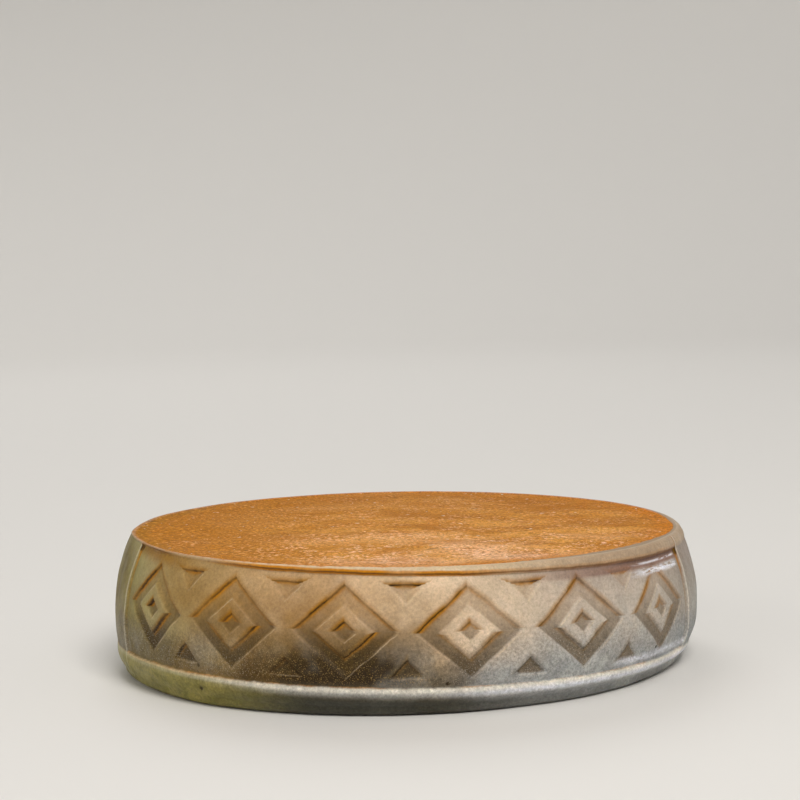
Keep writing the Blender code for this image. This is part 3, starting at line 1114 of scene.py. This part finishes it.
side_coat = over(side_coat, over(GOLD, PEARL, away), times(specks, ramp(away, 0, 1, 0.45, 0.30)))
print("nodes up to the grain of the side:", len(tree.nodes))

# %% [markdown]
# ### The top face
#
# The top was rubbed most, so it is orange to russet, with soft smears, a fine network of wrinkles with
# pale crests and a few specks of white bloom. The pale crests, the darker valleys, a fine speckle of light
# and dark and paler clouds towards the front are partly the rind's colour and partly painted light and
# shade. Just inside the rim runs a more saturated ring. The orange reaches the crest of the rim with a
# ragged edge, but stops short of it at the right front.

# %% Colours of the top face
RUSSET = tint(162, 96, 18)
MARIGOLD = tint(194, 112, 2)
SIENNA = tint(172, 104, 2)
BLUSH = tint(242, 190, 150)
CHALK = tint(246, 236, 218)
HONEY = tint(188, 116, 28)

# %% Sizes on the top face
SMEAR_SIZE = 0.028
CLOUD_SIZE = 0.040
EMBER_SIZE = 0.012
WRINKLE_SIZE = 0.0028
STREAK_SIZE = 0.005
CREASE_SIZE = 0.022
FLECK_SIZE = 0.0024
FINE_SIZE = 0.0014
RIM_FRAY = 1.4
FRONT_INSET = 6.0
TIP_INSET = 1.6

# %% Colour of the top face
smears = grain(SMEAR_SIZE, 3, 0.6, stretched(0.6, 1.0, 1.0, turn=0.10, shift=0.7))
top_coat = over(ORANGE, RUSSET, times(ramp(smears, 0.40, 0.66), 0.8))
clouds = grain(CLOUD_SIZE, 2, 0.5, stretched(0.7, 1.0, 1.0, shift=2.2))
frontness = ramp(y, 0.02, -0.10)
# Paler pink clouds towards the front: partly pale rind and partly a painted pool of light.
top_coat = over(top_coat, BLUSH, times(ramp(clouds, 0.34, 0.60), frontness, ramp(x, -0.09, 0.0), 0.60))
embers = ramp(grain(EMBER_SIZE, 3, 0.6, stretched(0.7, 1, 1, shift=12.4)), 0.50, 0.64)
top_coat = painted(
    top_coat,
    (HONEY, times(embers, 0.55)),
    (RUSSET, times(ramp(y, -0.02, 0.11), 0.55)),
)
ring_share = times(ramp(in_from_rim, 20.0, 8.0), ramp(grain(0.014, 2), 0.2, 0.6, 0.5, 1.0))
top_coat = painted(
    top_coat,
    (HONEY, times(ring_share, 0.75)),
    (MARIGOLD, times(ramp(x, 0.100, 0.122), ramp(in_from_rim, 14.0, 4.0), 0.8)),
    (SIENNA, times(ramp(x, 0.00, -0.11), 0.90)),
    (OCHRE, times(ramp(x, -0.080, -0.120), ramp(in_from_rim, 12.0, 2.0), 0.55)),
)
print("nodes up to the ground of the top:", len(tree.nodes))

# %% Wrinkles, creases and flecks
# The wrinkles' pale crests and darker valleys: partly the rind's colour and partly painted light and shade
# of the wrinkles.
wrinkled = grain(WRINKLE_SIZE, 3, 0.65)
crests = ramp(wrinkled, 0.52, 0.64)
crest_share = times(crests, ramp(grain(0.020, 2, 0.5, stretched(shift=9.1)), 0.38, 0.62))
crest_share = times(crest_share, ramp(in_from_rim, 2.0, 22.0, 0.35, 1.0), ramp(x, -0.09, -0.02, 0.30, 1.0))
top_coat = painted(
    top_coat,
    (ORANGE, times(crests, ramp(x, -0.02, -0.08), 0.40)),
    (OCHRE, times(ramp(wrinkled, 0.48, 0.38), ramp(x, -0.02, -0.08), 0.50)),
    (RUSSET, times(ramp(wrinkled, 0.46, 0.36), 0.55)),
)
streaks = ramp(grain(STREAK_SIZE, 3, 0.6, stretched(0.25, 1, 1, turn=0.06, shift=6.6)), 0.52, 0.64)
top_coat = painted(
    top_coat,
    (RUSSET, times(streaks, ramp(x, 0.00, 0.05), ramp(y, -0.10, -0.02), 0.6)),
    (BLUSH, times(crest_share, ramp(frontness, 0, 1, 0.35, 1.0))),
)
crease_path = grain(CREASE_SIZE, 1, 0.5, stretched(0.6, 1, 1, shift=5.1))
creased = ramp(grain(0.014, 1, 0.5, stretched(shift=2.9)), 0.60, 0.68)
crease = times(line(crease_path, 0.50, 0.012), creased)
top_coat = over(top_coat, UMBER, times(crease, 0.6))
flecks = ramp(grain(FLECK_SIZE, 1, 0.5, stretched(0.7, 1, 1, shift=7.7)), 0.745, 0.785)
top_coat = over(top_coat, CHALK, times(flecks, 0.8))
# A fine speckle of light and dark: partly grain and partly painted light and shade of the fine relief.
fine = grain(FINE_SIZE, 3, 0.8)
top_coat = shaded(top_coat, ramp(fine, 0.3, 0.7, 0.62, 1.36))
print("nodes up to the wrinkles and flecks:", len(tree.nodes))

# %% Where the top meets the side
rim_line = maths("ADD", in_from_rim, wander(0.0030, 3, RIM_FRAY, 0.6))
front_inset = times(ramp(x, 0.02, 0.06), ramp(y, -0.01, -0.09), FRONT_INSET)
tip_inset = times(ramp(x, 0.06, 0.12), ramp(y, 0.06, 0.0), TIP_INSET)
rim_line = maths("SUBTRACT", rim_line, maths("ADD", front_inset, tip_inset))
side_coat = over(side_coat, lip_colour, times(ramp(in_from_rim, -0.8, 0.2), 0.95))
colour = over(side_coat, top_coat, ramp(rim_line, -0.2, 0.3))
colour = over(colour, RUSSET, times(line(rim_line, 0.1, 0.4), 0.35))
feed(shader.inputs["Base Color"], colour)
print("nodes up to the meeting line:", len(tree.nodes))

# %% [markdown]
# ### Gloss and bump
#
# Rind is waxy where brine dried on it, so the lips shine softly, and the top face is dull. The bump adds
# what is finer than the mesh: sandy grain on the side and wrinkles on the top. Its heights are given in
# millimetres, as the bump's distance is one millimetre.

# %% Gloss
on_top = ramp(in_from_rim, 0.6, 2.0)
waxy = ramp(grain(0.018, 3, 0.6, stretched(shift=4.4)), 0.35, 0.65)
lip_shine = maths("MAXIMUM", roll, ramp(below_high, 0.0, -0.6))
side_gloss = maths("SUBTRACT", ramp(waxy, 0, 1, 0.48, 0.66), times(lip_shine, 0.12))
top_gloss = ramp(smears, 0.35, 0.65, 0.86, 1.0)
on_side = maths("SUBTRACT", 1.0, on_top)
roughness = maths("ADD", times(side_gloss, on_side), times(top_gloss, on_top))
feed(shader.inputs["Roughness"], roughness)
shader.inputs["Specular IOR Level"].default_value = 0.25
shader.inputs["Subsurface Weight"].default_value = 0.35
shader.inputs["Subsurface Radius"].default_value = (1.0, 0.6, 0.35)
shader.inputs["Subsurface Scale"].default_value = 0.0030
print("nodes up to the gloss:", len(tree.nodes))

# %% Bump
side_relief = maths("ADD", times(sand, 0.10), times(mottle, 0.22))
top_relief = maths("ADD", times(crests, 0.25), times(wrinkled, 0.55))
top_relief = maths("ADD", top_relief, times(fine, 0.12))
relief = maths("ADD", times(side_relief, on_side), times(top_relief, on_top))
bump = tree.nodes.new("ShaderNodeBump")
bump.inputs["Strength"].default_value = 0.8
bump.inputs["Distance"].default_value = MILLIMETRE
feed(bump.inputs["Height"], relief)
feed(shader.inputs["Normal"], bump.outputs["Normal"])
skin_mesh.materials.append(rind)
print("nodes in the finish:", len(tree.nodes))

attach(skin, "root")
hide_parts("cheese_wheel")

# %% [markdown]
# ## The floor
#
# A studio sweep: a pale floor that curves up into a wall, so that no horizon shows. Its profile, flat,
# then a quarter circle, then straight up, is turned all the way round, because the wheel is looked at
# from every side.

# %% The sweep
FLOOR_RADIUS = 2.4
COVE_RADIUS = 1.2
WALL_HEIGHT = 3.0
FLOOR_DROP = 0.0003
SWEEP_COLUMNS = 96
COVE_STEPS = 16
INNER_RADIUS = 0.5


def sweep_mesh():
    """A profile carried round the Z axis: radius R + c sin t and height c (1 - cos t) along the cove."""
    turn = np.linspace(0, math.pi / 2, COVE_STEPS)
    wall_radius = FLOOR_RADIUS + COVE_RADIUS
    radii = np.concatenate([[INNER_RADIUS], FLOOR_RADIUS + COVE_RADIUS * np.sin(turn), [wall_radius]])
    levels = np.concatenate([[0.0], COVE_RADIUS * (1 - np.cos(turn)), [WALL_HEIGHT]]) - FLOOR_DROP
    angle = np.linspace(0, 2 * math.pi, SWEEP_COLUMNS, endpoint=False)
    grid = turned_points(radii[:, None], angle, levels[:, None] + 0 * angle)
    places = np.concatenate([grid.reshape(-1, 3), [[0, 0, -FLOOR_DROP]]])
    quads = side_faces(len(radii), SWEEP_COLUMNS)[:, ::-1].tolist()
    ring = np.arange(SWEEP_COLUMNS)
    fan = np.stack([ring, np.roll(ring, -1), np.full(SWEEP_COLUMNS, len(places) - 1)], 1).tolist()
    mesh = bpy.data.meshes.new("sweep")
    mesh.from_pydata(places, [], quads + fan)
    mesh.shade_smooth()
    return mesh


paper = bpy.data.materials.new("studio_paper")
paper.use_nodes = True
paper.node_tree.nodes["Principled BSDF"].inputs["Base Color"].default_value = tint(226, 224, 220)
paper.node_tree.nodes["Principled BSDF"].inputs["Roughness"].default_value = 0.8
sweep = bpy.data.objects.new("sweep", sweep_mesh())
sweep.data.materials.append(paper)
bpy.context.scene.collection.objects.link(sweep)

# %% [markdown]
# ## The light
#
# The photograph's main light comes from above and from the right, and a weaker one from the left. Large
# soft lamps do the same here. A grey sky fills the rest, so that no side of the wheel is lost in the dark.

# %% Lamps
LAMPS = (
    ("key", (0.70, -1.90, 2.30), 1.30, 60.0, (1.0, 0.97, 0.93)),
    ("fill", (-2.20, -1.40, 1.30), 1.80, 11.0, (1.0, 0.98, 0.95)),
    ("back", (-0.50, 2.30, 2.20), 1.80, 26.0, (1.0, 0.98, 0.96)),
)
SKY_COLOUR = (0.88, 0.90, 0.94, 1.0)
SKY_STRENGTH = 0.28


def add_lamp(name, place_at, size, power, lamp_colour):
    """A square lamp that faces the wheel's middle."""
    data = bpy.data.lights.new(name, "AREA")
    data.size = size
    data.energy = power
    data.color = lamp_colour
    lamp = bpy.data.objects.new(name, data)
    lamp.location = place_at
    to_wheel = Vector((0, 0, WHEEL_HEIGHT / 2)) - lamp.location
    lamp.rotation_euler = to_wheel.to_track_quat("-Z", "Y").to_euler()
    bpy.context.scene.collection.objects.link(lamp)


for lamp_values in LAMPS:
    add_lamp(*lamp_values)
world = bpy.data.worlds.new("sky")
world.use_nodes = True
world.node_tree.nodes["Background"].inputs["Color"].default_value = SKY_COLOUR
world.node_tree.nodes["Background"].inputs["Strength"].default_value = SKY_STRENGTH
bpy.context.scene.world = world
bpy.context.scene.view_settings.view_transform = "Standard"
